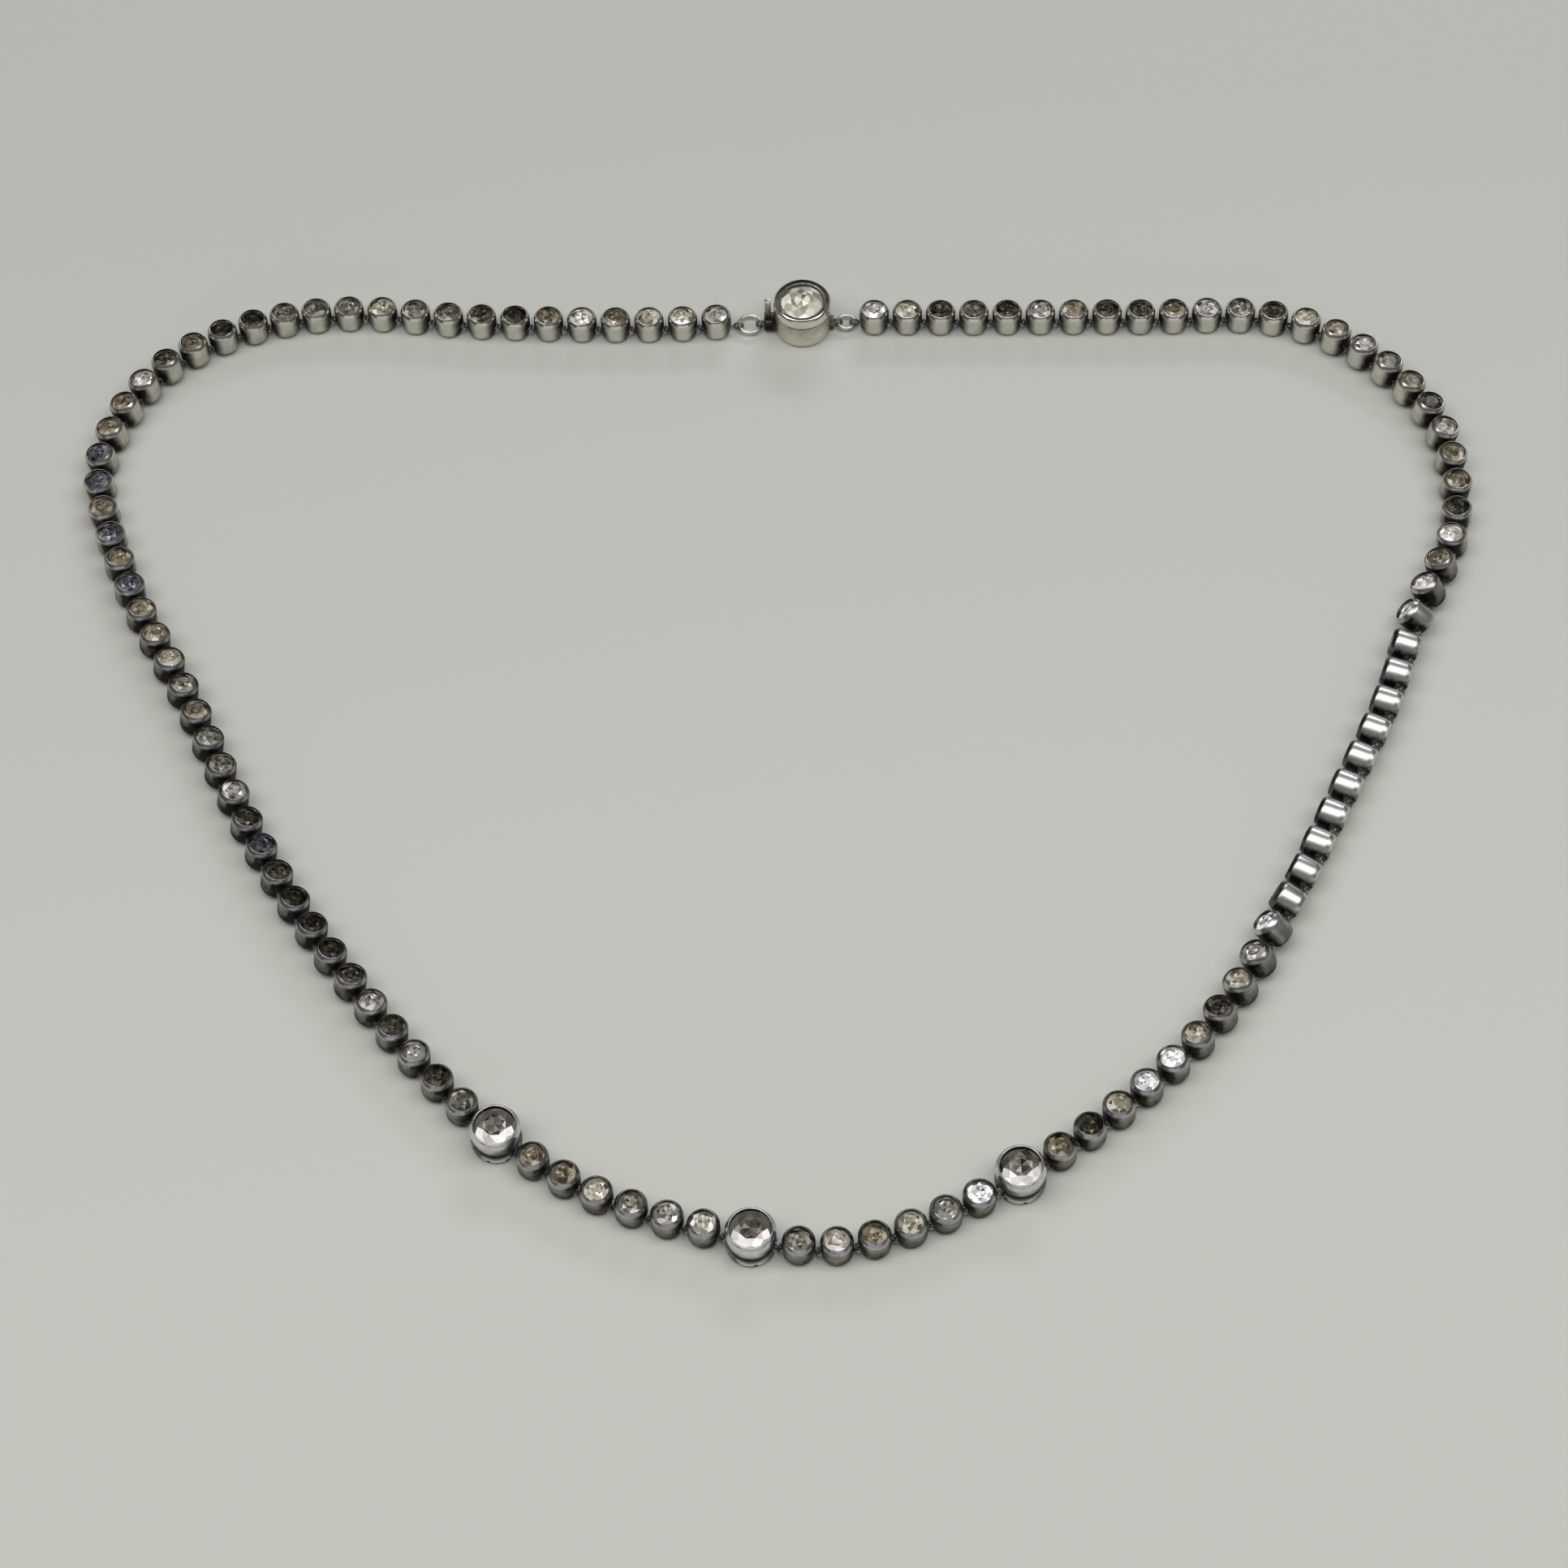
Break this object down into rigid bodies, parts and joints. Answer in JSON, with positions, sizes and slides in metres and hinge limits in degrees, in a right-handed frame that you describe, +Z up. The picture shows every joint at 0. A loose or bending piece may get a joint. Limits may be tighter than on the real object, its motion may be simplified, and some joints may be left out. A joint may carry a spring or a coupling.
{
  "type": "riviere necklace",
  "caption": "Silver riviere of small round paste stones in closed cup settings, larger stones at the front and a round box clasp, lying fastened in a loop.",
  "frame": {"origin": "middle of the bounding box at the height of the surface that the necklace lies on", "axes": "+Z up from the surface, +Y toward the clasp, +X to the right as the clasp lies at the back"},
  "size_m": [0.1544, 0.1242, 0.0048],
  "materials": {
    "silver": "aged silver, satin on the walls and polished on the bezels",
    "paste": "foiled paste, smoky to champagne",
    "clear_paste": "clear paste"
  },
  "bodies": {
    "root": {"clasp_box": "silver", "clasp_stone": "clear_paste", "clasp_tongue": "silver", "jump_ring_right": "silver", "jump_ring_left": "silver", "right_settings": "silver", "right_stones": "paste", "left_settings": "silver", "left_stones": "paste", "big_setting_right": "silver", "big_setting_middle": "silver", "big_setting_left": "silver", "big_stone_right": "clear_paste", "big_stone_middle": "clear_paste", "big_stone_left": "clear_paste", "front_setting_1": "silver", "front_setting_2": "silver", "front_setting_3": "silver", "front_setting_4": "silver", "front_setting_5": "silver", "front_setting_6": "silver", "front_setting_7": "silver", "front_setting_8": "silver", "front_setting_9": "silver", "front_setting_10": "silver", "front_setting_11": "silver", "front_setting_12": "silver", "front_stone_1": "paste", "front_stone_2": "paste", "front_stone_3": "paste", "front_stone_4": "paste", "front_stone_5": "paste", "front_stone_6": "paste", "front_stone_7": "paste", "front_stone_8": "paste", "front_stone_9": "paste", "front_stone_10": "paste", "front_stone_11": "paste", "front_stone_12": "paste"}
  },
  "joints": []
}
